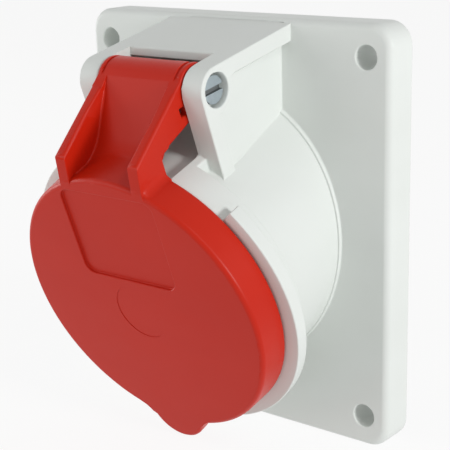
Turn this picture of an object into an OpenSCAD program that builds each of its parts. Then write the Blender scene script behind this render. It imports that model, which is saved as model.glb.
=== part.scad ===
// Sloped panel socket for pin and sleeve plugs, with a sprung hinged lid.
// X runs right seen from the front, Y into the panel and Z up.
// The origin is the middle of the flange's back face.
// The socket has its own frame, tilted down: x right, u up and w forward out of the mouth.

/* [Flange] */
// Width of the flange
flange_w = 90; // [88:1:110]
// Height of the flange
flange_h = 100; // [99:1:125]
// Depth of the flange from its back to its front face
flange_t = 9; // [8.5:0.5:12]
// Radius of the flange's corners
flange_corner_r = 5.5; // [4:0.5:9]
// Rounding of the flange's front edge
flange_edge_r = 1.8; // [0.6:0.1:2.4]
// Thickness of the flange's front plate
flange_plate_t = 3.4; // [2.8:0.1:4.4]
// Thickness of the skirt round the flange
skirt_t = 3; // [2:0.1:3.6]
// Distance of the fixing holes from the flange's sides
hole_side = 6.5; // [6.2:0.1:8]
// Distance of the fixing holes from the flange's top and bottom
hole_end = 7.5; // [6.5:0.1:9]
// Diameter of the fixing holes
hole_d = 5.5; // [4:0.1:6]
// Wall of the post round each fixing hole
hole_wall = 2.6; // [1.8:0.1:3]
// Width of the gasket's frame
gasket_w = 7; // [5:0.5:7.5]
// Thickness of the gasket
gasket_t = 2.4; // [1.6:0.1:3]
// Thickness of the ribs behind the flange
stiffener_t = 2; // [1.6:0.1:3]

/* [Socket body] */
// Angle by which the socket points down
tilt = 20; // [16:1:22]
// Distance of the rim's middle in front of the flange
rim_reach = 26.5; // [25:0.5:30]
// Height of the socket's axis where it leaves the flange
axis_z = -1; // [-3:0.5:1]
// Outer radius of the body
body_r = 31.65; // [31:0.05:32.5]
// Inner radius of the mouth
mouth_r = 28.65; // [28:0.05:29.2]
// Depth of the mouth behind the rim plane
mouth_depth = 36; // [33:0.5:38]
// Outer radius of the collar at the mouth
collar_r = 34.1; // [33.6:0.1:35]
// Length of the collar
collar_len = 7.6; // [6:0.1:8.6]
// Outer radius of the rim
rim_r = 37.6; // [36:0.1:38.5]
// Thickness of the rim
rim_t = 3.4; // [2.4:0.1:4.5]
// Angle at which the rim ends on the right
rim_end_right = 43; // [35:1:50]
// Angle at which the rim ends on the left
rim_end_left = 118; // [112:1:140]
// Distance by which the body's foot stands out at the flange
foot_out = 0.5; // [0.3:0.1:0.9]
// Height of the body's foot in front of the flange
foot_t = 0.8; // [0.5:0.1:1.5]
// Outer radius of the sealing lip
lip_r = 30.6; // [30:0.05:30.8]
// Width of the keyway in the mouth
keyway_w = 7; // [5:0.5:9]
// Depth of the keyway into the wall
keyway_depth = 1.6; // [1:0.1:1.8]

/* [Hood] */
// Height of the hinge above the socket's axis
hinge_u = 45.3; // [44.5:0.1:46]
// Distance of the hinge behind the rim plane
hinge_back = 16.1; // [15.5:0.1:17]
// Distance between the ears
ear_gap = 25.2; // [24.6:0.1:27]
// Thickness of each ear
ear_t = 5.6; // [5:0.1:7]
// Radius of the ears round the hinge
ear_r = 5.3; // [4.8:0.1:5.8]
// Height of the roof where it meets the flange
roof_z = 49.2; // [48:0.1:49.3]
// Thickness of the roof
roof_t = 2; // [1.6:0.1:2.8]
// Distance of the roof's front notch behind the hinge
notch_back = 6.1; // [6:0.1:8]
// Height of the raised band along the roof's side
roof_band = 3.9; // [3:0.1:5]
// Width of the raised band along an ear's front
front_band = 4.2; // [3:0.1:5]
// Depth of the cheek's recess at the flange
recess_back = 2.8; // [2:0.1:3.2]
// Depth of the cheek's recess near the hinge
recess_front = 0.5; // [0.3:0.1:1]
// Width of the bridge between the collar and each ear
bridge_w = 2; // [1.2:0.1:3]

/* [Lid] */
// Radius of the lid at its rear edge
lid_r = 34.65; // [34.2:0.05:35]
// Radius by which the lid narrows towards its face
lid_draft = 0.5; // [0:0.1:1]
// Distance of the lid's face in front of the rim plane
lid_face = 8.5; // [8:0.1:9.5]
// Height of the lid's middle above the socket's axis
lid_rise = 0.5; // [0:0.1:0.8]
// Rounding of the lid's front edge
lid_edge_r = 1.2; // [0.8:0.1:2.4]
// Thickness of the lid's face
lid_wall = 2; // [1.6:0.1:2.4]
// Thickness of the lid's skirt
lid_skirt = 2; // [1.6:0.1:2.2]
// Gap between the lid and the rim
lid_gap = 0.3; // [0.3:0.05:0.6]
// Thickness of each lid rib
rib_t = 3; // [2.4:0.1:3.6]
// Height of the ribs' front corners above the socket's axis
rib_corner_u = 39; // [37.5:0.1:40]
// Distance of the ribs' front corners behind the lid's face
rib_corner_back = 1.1; // [0.6:0.1:2]
// Height of the notch under each rib above the socket's axis
rib_notch_u = 37.1; // [36.5:0.1:37.5]
// Distance of the notch's floor behind the rim plane
rib_notch_back = 0.3; // [0:0.1:1]
// Rounding of the notch under each rib
rib_notch_r = 0.8; // [0.5:0.1:2]
// Radius of the lid's knuckles on the hinge
knuckle_r = 5.2; // [4.9:0.05:5.3]
// Radius of the collar at each knuckle's end
knuckle_collar_r = 5.6; // [5.4:0.05:5.7]
// Width of the collar at each knuckle's end
knuckle_collar_t = 1.2; // [0.8:0.1:1.6]
// Radius of the neck over the spring
neck_barrel_r = 5.6; // [5.3:0.05:5.7]
// Thickness of the neck
neck_t = 1.2; // [1:0.05:1.5]
// Thickness of the web beside the neck
web_t = 1; // [0.8:0.1:1.4]
// Height of the neck's valley above the socket's axis
neck_u = 33.2; // [32.8:0.1:33.8]
// Radius of the neck's valley
neck_valley_r = 12; // [10:0.5:14]
// Slope of the neck up to the hinge
neck_slope = 54; // [50:1:56]
// Angle by which the shell over the spring wraps behind the hinge
shell_wrap = 24; // [10:1:28]
// Reach of the finger nose below the lid's middle
nose_reach = 39.3; // [38.5:0.1:40]
// Radius of the nose's tip
nose_r = 8; // [7:0.5:9]
// Radius of the hollow on each side of the nose
nose_fillet = 7; // [5:0.5:9]
// Thickness of the nose
nose_t = 3.6; // [2.6:0.1:4.4]
// Width of the recessed panel
panel_w = 27.4; // [24:0.2:28]
// Height of the recessed panel
panel_h = 22.8; // [20:0.2:24]
// Height of the panel's middle above the lid's middle
panel_u = 18.8; // [17:0.1:19]
// Depth of the recessed panel
panel_depth = 0.7; // [0.3:0.1:0.9]
// Corner radius of the recessed panel
panel_corner_r = 2.5; // [1.5:0.5:4]
// Radius of the round mark left by the mould's insert
insert_r = 7.2; // [5:0.1:8]
// Distance of the round mark below the lid's middle
insert_drop = 1.2; // [0:0.1:3]
// Depth of the round mark
insert_depth = 0.1; // [0.1:0.05:0.3]
// Thickness of the lid's seal
seal_t = 1.6; // [1.2:0.1:1.6]
// Width of the lid's seal
seal_w = 4; // [3:0.1:5]

/* [Hinge] */
// Radius of the hinge pin
pin_r = 1.75; // [1.5:0.05:1.8]
// Radius of the hinge pin's head
pin_head_r = 3.2; // [2.8:0.1:3.5]
// Thickness of the hinge pin's head
pin_head_t = 2; // [1.5:0.1:2.4]
// Depth of the head below the ear's face
pin_recess = 1; // [0.3:0.1:1.2]
// Width of the slot in the head
pin_slot_w = 1.2; // [0.8:0.1:1.4]
// Depth of the slot in the head
pin_slot_depth = 1; // [0.5:0.1:1.2]
// Angle of the slot, rising to the back
pin_slot_angle = 11; // [0:1:45]
// Radius of the counterbore round the head
head_bore_r = 3.9; // [3.6:0.1:4.1]
// Radius of the spring's wire
wire_r = 0.5; // [0.4:0.05:0.5]
// Radius of the coil at the middle of the wire
coil_r = 2.65; // [2.4:0.05:2.7]
// Number of whole turns in the coil
coil_turns = 5; // [3:1:6]
// Distance between the coil's turns
coil_pitch = 1.15; // [1.1:0.05:1.3]
// Size of the square hole that holds the spring's end
hook_hole = 2; // [1.8:0.1:2.6]
// Distance of the square hole's middle below the hinge
hook_drop = 2.8; // [2.2:0.1:3.4]
// Distance of the square hole's middle in front of the hinge
hook_forward = 5.6; // [5:0.1:6]
// Reach of the spring's back leg behind the hinge
back_leg_reach = 17.4; // [14:0.2:19]

/* [Contacts] */
// Radius of the contact island
island_r = 24; // [23:0.1:24.4]
// Distance of the island's face behind the rim plane
island_back = 6; // [4:0.5:8]
// Radius of the circle on which the contacts stand
contact_circle_r = 15; // [14.5:0.1:15.5]
// Radius of a phase pin
phase_pin_r = 2.5; // [2:0.1:2.8]
// Radius of the earth pin
earth_pin_r = 3.5; // [3:0.1:3.8]
// Wall of the contact sleeves
sleeve_wall = 1.2; // [1:0.05:1.4]
// Distance of the sleeves' mouths behind the island's face
sleeve_back = 4; // [3:0.5:6]
// Length of the slots in the sleeves
sleeve_slot_len = 14; // [8:1:18]
// Width of the slots in the sleeves
sleeve_slot_w = 0.8; // [0.5:0.1:1]
// Width by which a contact's collar stands out
contact_collar = 2; // [1.9:0.1:2.4]
// Thickness of a contact's collar
contact_collar_t = 2; // [1.5:0.1:2.5]
// Length of a contact's terminal behind the carrier
terminal_len = 14; // [12:0.5:18]
// Radius of the wire hole in a terminal
wire_hole_r = 2.1; // [1.6:0.1:2.3]
// Depth of the wire hole in a terminal
wire_hole_depth = 9; // [7:0.5:10]
// Thickness of a spring ring
ring_t = 0.6; // [0.4:0.05:0.7]
// Length of a spring ring
ring_len = 4; // [3:0.5:6]
// Radius of a terminal screw's thread
terminal_screw_r = 1.5; // [1.2:0.05:1.7]
// Radius of a terminal screw's head
terminal_head_r = 2.6; // [2.2:0.1:2.9]
// Thickness of a terminal screw's head
terminal_head_t = 1.8; // [1.2:0.1:2.4]

/* [Carrier] */
// Thickness of the ledge behind the mouth
ledge_t = 3; // [2.5:0.1:4]
// Thickness of the carrier's base
base_t = 5; // [4.5:0.1:6]
// Thickness of the contact retainer
retainer_t = 3; // [2.5:0.1:4]
// Radius of the contact retainer
retainer_r = 24; // [23.5:0.1:25]
// Length of the lugs that hold the carrier
lug_t = 1.8; // [1.4:0.1:2.2]
// Width of the lugs that hold the carrier
lug_w = 9; // [6:0.5:12]
// Reach of the lugs over the carrier
lug_reach = 1.2; // [0.9:0.1:1.5]
// Angle of the first of the three lugs
lug_angle = -90; // [-90:15:90]
// Radius of the retainer screw's thread
retainer_screw_r = 1.5; // [1.2:0.05:1.8]
// Length of the retainer screw's thread in the carrier
retainer_screw_len = 12; // [8:0.5:16]

/* [Clearances] */
// Gap between the lid and each ear
side_gap = 0.3; // [0.25:0.05:0.4]
// Radial gap of the lid on the hinge pin
pin_running_gap = 0.06; // [0.03:0.01:0.1]
// Radial gap of a piece held still in its hole
seat_gap = 0.03; // [0.02:0.01:0.06]
// Gap between a moulded piece and its seat
mould_gap = 0.2; // [0.15:0.05:0.3]
// Gap between the carrier and what it only guides
loose_gap = 0.5; // [0.4:0.05:0.6]
// Gap between a plug's pin and a sleeve's bore
pin_gap = 0.05; // [0.03:0.01:0.08]
// Gap between a sleeve's spring ring and its chamber
chamber_gap = 0.25; // [0.15:0.05:0.35]

/* [Hidden] */
$fn = 96;
// Overlap that makes joined shapes one solid and cuts clean
eps = 1;

hole_dx = flange_w - 2 * hole_side;
hole_dz = flange_h - 2 * hole_end;

rim_y = -(flange_t + rim_reach);
rim_z = axis_z - rim_reach * tan(tilt);
hinge_w = -hinge_back;
hinge = [hinge_u, hinge_w];
hinge_y = rim_y - hinge_u * sin(tilt) - hinge_w * cos(tilt);
hinge_z = rim_z + hinge_u * cos(tilt) - hinge_w * sin(tilt);

ear_in = ear_gap / 2;
ear_out = ear_in + ear_t;
ear_front_w = hinge_w + ear_r;
// Height above the socket's axis at which the hood's sides end inside the body
hood_root_u = 20;
hood_back_y = -flange_t + eps;

lid_half = ear_in - side_gap;
rib_in = lid_half - rib_t;
lid_inner_r = lid_r - lid_skirt;
lid_ceiling = lid_face - lid_wall;
seal_back_w = lid_ceiling - seal_t;
// The sealing lip stops short of the lid's seal
lip_front_w = seal_back_w - lid_gap;

groove_floor_w = -mouth_depth;
base_front_w = groove_floor_w - ledge_t;
base_back_w = base_front_w - base_t;
lug_front_w = base_back_w - mould_gap;
tube_back_w = lug_front_w - lug_t;
ledge_r = island_r + loose_gap;
base_r = mouth_r - loose_gap;

CONTACTS = ["earth", "l1", "l2", "l3", "neutral"];
contact_step = -360 / len(CONTACTS);
function contact_angle(i) = -90 + i * contact_step;
function contact_pin_r(i) = i == 0 ? earth_pin_r : phase_pin_r;
function sleeve_bore_r(i) = contact_pin_r(i) + pin_gap;
function sleeve_r(i) = sleeve_bore_r(i) + sleeve_wall;
function chamber_r(i) = sleeve_r(i) + ring_t + chamber_gap;
function terminal_half(i) = sleeve_r(i) - mould_gap;
sleeve_front_w = -island_back - sleeve_back;
collar_front_w = base_back_w + contact_collar_t;
terminal_back_w = base_back_w - terminal_len;
terminal_screw_w = base_back_w - retainer_t - (terminal_len - retainer_t) / 2;

// Unit vector at an angle in a plane
function unit(a) = [cos(a), sin(a)];
// Vector of a given length along another
function along(v, d) = v / norm(v) * d;
// Point where the tangent from p touches a circle, on the given side
function tangent_point(p, c, r, side) =
    let (d = p - c, a = atan2(d[1], d[0]), h = acos(r / norm(d)))
    c + r * unit(a + side * h);

// Places children in the socket's own frame
module tilted() {
    translate([0, rim_y, rim_z])
        rotate([90 + tilt, 0, 0])
            children();
}

// Extrudes a side view, drawn back to front and up, between two places across the part
module across(x0, x1) {
    translate([x0, 0, 0])
        rotate([90, 0, 90])
            linear_extrude(x1 - x0)
                children();
}

// Extrudes a front view forward from the panel
module forward(y0, y1) {
    translate([0, -y0, 0])
        rotate([90, 0, 0])
            linear_extrude(y1 - y0)
                children();
}

// Repeats children on the left
module both_sides() {
    children();
    mirror([1, 0, 0])
        children();
}

module tube(r_out, r_in, w0, w1) {
    translate([0, 0, w0])
        difference() {
            cylinder(r = r_out, h = w1 - w0);
            translate([0, 0, -eps])
                cylinder(r = r_in, h = w1 - w0 + 2 * eps);
        }
}

module rod(r, w0, w1) {
    translate([0, 0, w0])
        cylinder(r = r, h = w1 - w0);
}

module rounded_rect(w, h, r) {
    square([w - 2 * r, h], center = true);
    square([w, h - 2 * r], center = true);
    for (x = [-1, 1], y = [-1, 1])
        translate([x * (w / 2 - r), y * (h / 2 - r)])
            circle(r);
}

// Wedge of the plane between two angles less than half a turn apart
module sector(a0, a1, r) {
    polygon([[0, 0], r * unit(a0), r * unit((a0 + a1) / 2), r * unit(a1)]);
}

// Flange

// Section of a slab with its upper edges rounded
module soft_section(w, t, r) {
    translate([-w / 2, 0])
        square([w, t - r]);
    translate([-w / 2 + r, 0])
        square([w - 2 * r, t]);
    for (s = [-1, 1])
        translate([s * (w / 2 - r), t - r])
            circle(r);
}

// Slab with rounded corners and a rounded front edge
module soft_slab(w, h, t, corner_r, edge_r) {
    rotate([90, 0, 0])
        linear_extrude(h - 2 * corner_r, center = true)
            soft_section(w, t, edge_r);
    rotate([90, 0, 90])
        linear_extrude(w - 2 * corner_r, center = true)
            soft_section(h, t, edge_r);
    for (i = [0:3])
        let (a = 45 + 90 * i)
        translate([sign(cos(a)) * (w / 2 - corner_r), sign(sin(a)) * (h / 2 - corner_r), 0])
            rotate([0, 0, 90 * i])
                rotate_extrude(angle = 90)
                    intersection() {
                        soft_section(2 * corner_r, t, edge_r);
                        square([corner_r, t]);
                    }
}

module at_holes() {
    for (x = [-1, 1], z = [-1, 1])
        translate([x * hole_dx / 2, z * hole_dz / 2])
            children();
}

// Outline inside the skirt, drawn in by a gap
module flange_inside(gap) {
    inset = 2 * (skirt_t + gap);
    rounded_rect(flange_w - inset, flange_h - inset, flange_corner_r - skirt_t / 2);
}

module gasket_hole() {
    rounded_rect(flange_w - 2 * (skirt_t + gasket_w), flange_h - 2 * (skirt_t + gasket_w), flange_corner_r);
}

module hole_posts(extra) {
    at_holes()
        circle(hole_d / 2 + hole_wall + extra);
}

// Diagonal ribs from the posts to the body
module stiffeners() {
    for (s = [-1, 1])
        rotate(s * atan2(hole_dz, hole_dx))
            square([flange_w + flange_h, stiffener_t], center = true);
}

module flange() {
    difference() {
        rotate([90, 0, 0])
            soft_slab(flange_w, flange_h, flange_t, flange_corner_r, flange_edge_r);
        forward(-eps, gasket_t)
            difference() {
                flange_inside(0);
                hole_posts(0);
            }
        forward(0, flange_t - flange_plate_t)
            difference() {
                gasket_hole();
                hole_posts(0);
                stiffeners();
            }
        forward(-eps, flange_t + eps)
            at_holes()
                circle(hole_d / 2);
    }
}

// Hood

roof_back = [hood_back_y, roof_z];
hinge_side = [hinge_y, hinge_z];
roof_touch = tangent_point(roof_back, hinge_side, ear_r, 1);
roof_run = roof_touch - roof_back;
roof_angle = atan2(-roof_run[1], -roof_run[0]);

// Side view of the hood in the part's frame
module hood_outline() {
    front = unit(-90 + tilt);
    ear_top = hinge_side - ear_r * unit(tilt);
    ear_foot = ear_top + front * (hinge_u - hood_root_u);
    back_foot = [hood_back_y, ear_foot[1] + (hood_back_y - ear_foot[0]) * tan(tilt)];
    polygon([roof_back, roof_touch, hinge_side, ear_top, ear_foot, back_foot]);
    translate(hinge_side)
        circle(ear_r);
}

// Side view of the cheek's recess, inside the raised bands
module recess_outline() {
    down = unit(roof_angle - 90);
    inward = unit(tilt);
    front = unit(-90 + tilt);
    reach = flange_h;
    roof_line = roof_back + down * roof_band;
    front_line = hinge_side + inward * (front_band - ear_r);
    difference() {
        intersection() {
            translate(roof_line)
                rotate(roof_angle)
                    translate([-reach, -reach])
                        square([2 * reach, reach]);
            translate(front_line)
                rotate(tilt)
                    translate([0, -reach])
                        square([reach, 2 * reach]);
        }
        translate(hinge_side)
            circle(ear_r);
    }
}

// Plan of what lies outside the cheek's slanted recess
module recess_plan() {
    polygon([
        [ear_out - recess_back, hood_back_y],
        [ear_out - recess_front, hinge_y],
        [ear_out - recess_front, hinge_y - 2 * ear_r],
        [ear_out + eps, hinge_y - 2 * ear_r],
        [ear_out + eps, hood_back_y],
    ]);
}

module cheek() {
    difference() {
        across(ear_in, ear_out)
            hood_outline();
        intersection() {
            across(ear_in, ear_out + eps)
                recess_outline();
            linear_extrude(flange_h, center = true)
                recess_plan();
        }
    }
}

module roof() {
    intersection() {
        across(-ear_in - eps, ear_in + eps)
            translate(roof_back)
                rotate(roof_angle)
                    translate([-flange_h, -roof_t])
                        square([flange_h, roof_t]);
        translate([-flange_w / 2, hinge_y + notch_back, 0])
            cube([flange_w, hood_back_y - hinge_y - notch_back, flange_h]);
    }
}

// Collar and rim, open at the top where the lid's neck passes
module collar() {
    difference() {
        union() {
            rod(collar_r, -collar_len, 0);
            translate([0, 0, -rim_t])
                linear_extrude(rim_t)
                    difference() {
                        circle(rim_r);
                        sector(rim_end_right, rim_end_left, 2 * rim_r);
                    }
            intersection() {
                rod(collar_r, ear_front_w - eps, -collar_len + eps);
                for (s = [-1, 1])
                    translate([s * (ear_in + bridge_w / 2), collar_r, ear_front_w])
                        cube([bridge_w, collar_r, 2 * (collar_len - ear_front_w)], center = true);
            }
        }
        translate([-ear_in, 0, ear_front_w - 2 * eps])
            cube([ear_gap, 2 * collar_r, eps * 4 - ear_front_w]);
    }
}

module socket_tube() {
    rod(body_r, tube_back_w, 0);
    rod(lip_r, -eps, lip_front_w);
}

// Low step round the body where it meets the flange
module body_foot() {
    intersection() {
        tilted()
            rod(body_r + foot_out, tube_back_w, 0);
        forward(flange_t - eps, flange_t + foot_t)
            square([flange_w, flange_h], center = true);
    }
}

// Space inside the tube for the plug and the contact carrier
module tube_space() {
    rod(mouth_r, groove_floor_w, lip_front_w + eps);
    rod(ledge_r, tube_back_w - eps, 0);
    rod(mouth_r, -flange_h, base_front_w);
    translate([-keyway_w / 2, -mouth_r - keyway_depth, groove_floor_w])
        cube([keyway_w, mouth_r, mouth_depth + lip_front_w + eps]);
}

module carrier_lugs() {
    intersection() {
        tube(mouth_r + eps, mouth_r - lug_reach, tube_back_w, lug_front_w);
        for (k = [0:2])
            rotate([0, 0, lug_angle + 120 * k])
                translate([0, -lug_w / 2, tube_back_w])
                    cube([body_r, lug_w, lug_t]);
    }
}

module hinge_bores() {
    translate([0, hinge_y, hinge_z])
        rotate([0, 90, 0]) {
            cylinder(r = pin_r + seat_gap, h = 4 * ear_out, center = true);
            translate([0, 0, ear_out - pin_recess - pin_head_t])
                cylinder(r = head_bore_r, h = ear_t);
        }
}

module housing() {
    color("gainsboro")
        difference() {
            union() {
                difference() {
                    union() {
                        flange();
                        both_sides()
                            cheek();
                        roof();
                        body_foot();
                        tilted() {
                            socket_tube();
                            collar();
                        }
                    }
                    tilted()
                        tube_space();
                }
                tilted()
                    carrier_lugs();
            }
            hinge_bores();
        }
}

// Lid

// Places children round the lid's middle
module raised() {
    translate([0, lid_rise, 0])
        children();
}

// Half section of the lid's round cap, solid inside
module cap_section() {
    front_r = lid_r - lid_draft;
    square([front_r - lid_edge_r, lid_face]);
    polygon([
        [0, lid_gap],
        [lid_r, lid_gap],
        [front_r, lid_face - lid_edge_r],
        [0, lid_face - lid_edge_r],
    ]);
    translate([front_r - lid_edge_r, lid_face - lid_edge_r])
        circle(lid_edge_r);
}

module cap() {
    rotate_extrude()
        intersection() {
            cap_section();
            translate([0, lid_gap])
                square([2 * lid_r, lid_face]);
        }
}

// Front view of the finger nose, with a hollow on each side
module nose_outline() {
    tip = nose_reach - nose_r;
    root_r = lid_r - lid_draft - lid_edge_r * 2 / 3;
    reach = root_r + nose_fillet;
    // The hollow's middle is as far from the lid's middle as from the tip's, plus both radii
    down = (reach * reach - pow(nose_r + nose_fillet, 2) + tip * tip) / (2 * tip);
    side = sqrt(reach * reach - down * down);
    difference() {
        union() {
            translate([0, -tip])
                circle(nose_r);
            polygon([[0, 0], [-side, -down], [0, -tip], [side, -down]]);
        }
        for (s = [-1, 1])
            translate([s * side, -down])
                circle(nose_fillet);
    }
}

// Fillet that fills the corner between two unit directions
module corner_fillet(corner, d0, d1, r) {
    half = acos(d0 * d1) / 2;
    run = r / tan(half);
    centre = corner + along(d0 + d1, r / sin(half));
    difference() {
        polygon([corner, corner + d0 * run, centre, corner + d1 * run]);
        translate(centre)
            circle(r);
    }
}

rib_corner = [rib_corner_u, lid_face - rib_corner_back];
rib_notch = [rib_notch_u, -rib_notch_back];
rib_front_touch = tangent_point(rib_corner, hinge, knuckle_r, -1);
rib_back_touch = tangent_point(rib_notch, hinge, knuckle_r, 1);

// Side view of a rib with its knuckle
module rib_outline() {
    root = lid_inner_r - lid_skirt;
    polygon([
        [root, lid_face],
        [lid_inner_r, lid_face],
        rib_corner,
        rib_front_touch,
        hinge,
        rib_back_touch,
        rib_notch,
        [root, rib_notch[1]],
    ]);
    corner_fillet(rib_notch, along(rib_back_touch - rib_notch, 1), [-1, 0], rib_notch_r);
    translate(hinge)
        circle(knuckle_r);
}

// Direction out of the neck's slope, and the valley's place where the slope meets the spring's shell
neck_out = unit(neck_slope);
neck_valley_w = (neck_out * hinge + neck_barrel_r + neck_valley_r
    - neck_out[0] * (neck_u + neck_valley_r)) / neck_out[1];
neck_centre = [neck_u + neck_valley_r, neck_valley_w];

// Side view of the neck between the ribs: a valley, a slope and a shell over the spring
module neck_outline() {
    foot = neck_centre - neck_out * neck_valley_r;
    top = hinge + neck_out * neck_barrel_r;
    translate(neck_centre)
        intersection() {
            difference() {
                circle(neck_valley_r + neck_t);
                circle(neck_valley_r);
            }
            sector(180, 180 + neck_slope, 2 * neck_valley_r);
        }
    polygon([foot, top, top - neck_out * neck_t, foot - neck_out * neck_t]);
    translate(hinge)
        intersection() {
            circle(neck_barrel_r);
            sector(-shell_wrap, neck_slope, 2 * neck_barrel_r);
        }
}

// Side view of the web that closes the gap between the neck and a rib's notch
module web_outline() {
    steps = 4;
    polygon([
        rib_notch,
        for (k = [0:steps])
            neck_centre - (neck_valley_r + neck_t / 2) * unit(neck_slope * k / steps),
        rib_back_touch,
    ]);
}

module spring_pocket() {
    translate(hinge)
        circle(coil_r + wire_r + chamber_gap);
}

module lid() {
    color("firebrick")
        tilted()
            difference() {
                union() {
                    raised()
                        cap();
                    raised()
                        translate([0, 0, lid_face - nose_t])
                            linear_extrude(nose_t)
                                nose_outline();
                    both_sides()
                        across(rib_in, lid_half)
                            rib_outline();
                    both_sides()
                        across(rib_in, rib_in + web_t)
                            web_outline();
                    both_sides()
                        across(lid_half - knuckle_collar_t, lid_half)
                            translate(hinge)
                                circle(knuckle_collar_r);
                    difference() {
                        across(-rib_in - eps, rib_in + eps)
                            neck_outline();
                        across(-rib_in, rib_in)
                            spring_pocket();
                    }
                }
                raised() {
                    rod(lid_inner_r, -collar_len, lid_ceiling);
                    translate([0, panel_u, lid_face - panel_depth])
                        linear_extrude(eps + panel_depth)
                            rounded_rect(panel_w, panel_h, panel_corner_r);
                    translate([0, -insert_drop, 0])
                        rod(insert_r, lid_face - insert_depth, lid_face + eps);
                }
                across(-2 * lid_half, 2 * lid_half)
                    translate(hinge)
                        circle(pin_r + pin_running_gap);
                both_sides()
                    across(rib_in - mould_gap, 2 * lid_half)
                        translate(hook_centre)
                            square(hook_hole, center = true);
            }
}

module lid_seal() {
    seal_r = lid_inner_r - mould_gap;
    color("dimgray")
        tilted()
            raised()
                tube(seal_r, seal_r - seal_w, seal_back_w, lid_ceiling);
}

// Hinge

module hinge_pin() {
    head_x = ear_out - pin_recess;
    color("silver")
        translate([0, hinge_y, hinge_z])
            difference() {
                rotate([0, 90, 0]) {
                    translate([0, 0, -head_x])
                        cylinder(r = pin_r, h = 2 * head_x - eps);
                    translate([0, 0, head_x - pin_head_t])
                        cylinder(r = pin_head_r, h = pin_head_t);
                }
                rotate([pin_slot_angle, 0, 0])
                    translate([head_x - pin_slot_depth, -2 * pin_head_r, -pin_slot_w / 2])
                        cube([2 * pin_slot_depth, 4 * pin_head_r, pin_slot_w]);
            }
}

// The spring's front end hooks through the right rib's square hole, in its lower back corner
hook_inset = hook_hole / 2 - wire_r - mould_gap;
hook_centre = hinge + [-hook_drop, hook_forward];
hook_place = hook_centre - [hook_inset, hook_inset];
hook_tip_x = rib_in + rib_t / 2;
hook_bend_r = 2 * wire_r;
coil_half = coil_turns * coil_pitch / 2;
leg_end = [body_r + wire_r + mould_gap, hinge_w - back_leg_reach];
leg_touch = tangent_point(leg_end, hinge, coil_r, -1);
leg_start = atan2(leg_touch[0] - hinge[0], leg_touch[1] - hinge[1]);
hook_turn = atan2(hook_place[0] - hinge[0], hook_place[1] - hinge[1])
    - acos(coil_r / norm(hook_place - hinge));
coil_sweep = 360 * coil_turns + hook_turn - leg_start;
// Turn between the wire's points on the coil, and on the hook's bend
coil_step = 24;
hook_step = 30;
wire_sides = 8;

// Point on the coil's circle, its angle running from forward to up
function coil_point(a) = hinge + coil_r * [sin(a), cos(a)];

spring_path = [
    [-coil_half, leg_end[0], leg_end[1]],
    for (i = [0:ceil(coil_sweep / coil_step)])
        let (k = i / ceil(coil_sweep / coil_step), p = coil_point(leg_start + k * coil_sweep))
        [-coil_half + 2 * coil_half * k, p[0], p[1]],
    for (a = [0:hook_step:90])
        let (v = along(hook_place - coil_point(hook_turn), hook_bend_r), p = hook_place - v * (1 - sin(a)))
        [coil_half + hook_bend_r * (1 - cos(a)), p[0], p[1]],
    [hook_tip_x, hook_place[0], hook_place[1]],
];

function direction(p, i) =
    let (v = p[min(i + 1, len(p) - 1)] - p[max(i - 1, 0)])
    v / norm(v);

// Sweeps a round wire along a path, carrying its section from point to point
module wire(path, r, sides) {
    last = len(path) - 1;
    first_up = cross(direction(path, 0), [1, 0, 0]);
    ups = [
        for (i = 0, up = first_up / norm(first_up); i <= last;
             i = i + 1,
             flat = i <= last ? up - direction(path, i) * (up * direction(path, i)) : up,
             up = flat / norm(flat))
            up
    ];
    points = [
        for (i = [0:last], s = [0:sides - 1])
            let (a = 360 * s / sides)
            path[i] + r * (ups[i] * cos(a) + cross(direction(path, i), ups[i]) * sin(a))
    ];
    faces = [
        [for (s = [0:sides - 1]) s],
        for (i = [0:last - 1], s = [0:sides - 1])
            let (t = (s + 1) % sides, a = i * sides, b = a + sides)
            [a + s, b + s, b + t, a + t],
        [for (s = [sides - 1:-1:0]) last * sides + s],
    ];
    polyhedron(points, faces, convexity = 10);
}

module lid_spring() {
    color("lightsteelblue")
        tilted()
            wire(spring_path, wire_r, wire_sides);
}

// Flange gasket

module flange_gasket() {
    color("dimgray")
        forward(0, gasket_t)
            difference() {
                flange_inside(mould_gap);
                hole_posts(mould_gap);
                gasket_hole();
            }
}

// Contacts and their carrier

module at_contact(i) {
    rotate([0, 0, contact_angle(i)])
        translate([contact_circle_r, 0, 0])
            children();
}

module contact_carrier() {
    color("slategray")
        tilted()
            difference() {
                union() {
                    rod(island_r, base_front_w, -island_back);
                    rod(base_r, base_back_w, base_front_w);
                }
                for (i = [0:len(CONTACTS) - 1])
                    at_contact(i) {
                        rod(contact_pin_r(i) + loose_gap, sleeve_front_w - eps, 0);
                        rod(chamber_r(i), collar_front_w - eps, sleeve_front_w);
                        rod(sleeve_r(i) + contact_collar + mould_gap, base_back_w - eps, collar_front_w);
                    }
                rod(retainer_screw_r + seat_gap, base_back_w - eps, base_back_w + retainer_screw_len + eps);
            }
}

module contact_retainer() {
    color("slategray")
        tilted()
            difference() {
                rod(retainer_r, base_back_w - retainer_t, base_back_w);
                for (i = [0:len(CONTACTS) - 1])
                    at_contact(i)
                        translate([0, 0, base_back_w])
                            cube([2, 2, 4] * (terminal_half(i) + mould_gap), center = true);
                rod(retainer_screw_r + mould_gap, base_back_w - retainer_t - eps, base_back_w + eps);
            }
}

module retainer_screw() {
    seat_w = base_back_w - retainer_t;
    color("silver")
        tilted()
            difference() {
                union() {
                    rod(retainer_screw_r, seat_w, base_back_w + retainer_screw_len);
                    rod(2 * retainer_screw_r, seat_w - retainer_screw_r, seat_w);
                }
                translate([0, 0, seat_w - retainer_screw_r])
                    cube([pin_slot_w, 6 * retainer_screw_r, retainer_screw_r], center = true);
            }
}

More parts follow.
